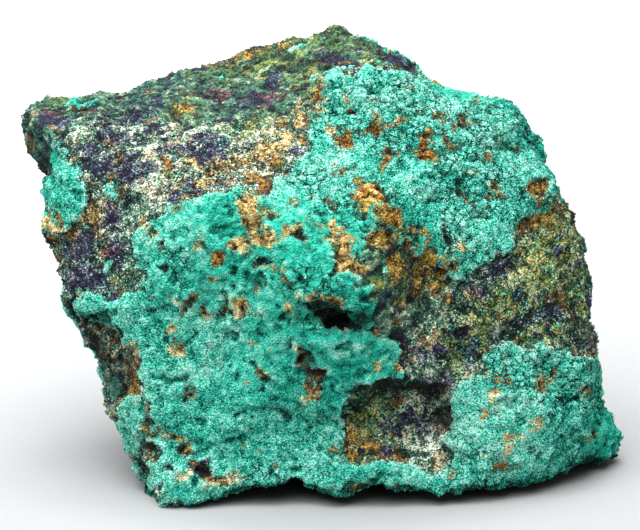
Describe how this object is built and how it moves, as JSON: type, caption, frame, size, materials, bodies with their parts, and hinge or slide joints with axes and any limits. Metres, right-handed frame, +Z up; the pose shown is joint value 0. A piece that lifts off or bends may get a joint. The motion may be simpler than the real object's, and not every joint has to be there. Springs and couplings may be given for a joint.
{
  "type": "mineral specimen",
  "caption": "Hand-sized lump of copper ore: dark, rusty broken rock with a knobbly green copper crust over its front, free-standing on its own blunt feet",
  "frame": {"origin": "middle of the underside of the stone's box, on the surface the stone rests on", "axes": "+X to the right along the crusted front face, +Y away from that face to the back, +Z up"},
  "size_m": [0.0615, 0.0482, 0.0408],
  "materials": {
    "stone": "matte"
  },
  "bodies": {
    "root": {"stone": "stone"}
  },
  "joints": []
}
